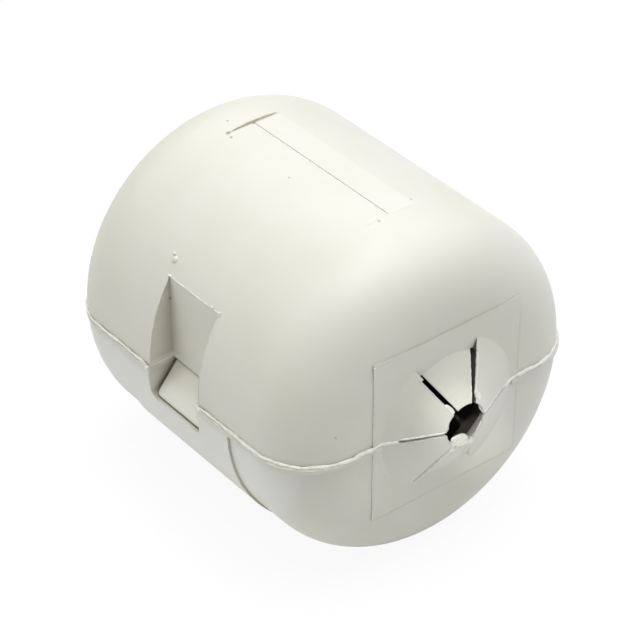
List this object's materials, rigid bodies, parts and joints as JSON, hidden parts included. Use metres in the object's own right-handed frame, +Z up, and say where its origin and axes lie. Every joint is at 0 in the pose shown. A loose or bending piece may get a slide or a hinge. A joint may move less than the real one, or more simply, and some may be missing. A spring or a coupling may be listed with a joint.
{
  "type": "clip-on ferrite bead",
  "caption": "Round hinged case that clips shut around a cable: a split ferrite core inside damps high-frequency noise, and flexible petals grip the cable.",
  "frame": {"origin": "middle of the flat underside that the closed case rests on", "axes": "+X along the cable, -Y towards the latch, +Y towards the hinge web, +Z up"},
  "size_m": [0.0368, 0.0303, 0.0298],
  "materials": {
    "case_nylon": "satin moulded nylon",
    "ferrite": "matt sintered"
  },
  "bodies": {
    "lower_half": {"lower_shell": "case_nylon", "lower_core": "ferrite", "hinge_web": "case_nylon"},
    "upper_half": {"upper_shell": "case_nylon", "upper_core": "ferrite"}
  },
  "joints": [
    {"name": "lid_hinge", "type": "hinge", "parent": "lower_half", "child": "upper_half", "pos_m": [0, 0.0152, 0.01477], "axis": [-1, 0, 0], "range_deg": [0, 180], "deforming": ["hinge_web"]}
  ]
}
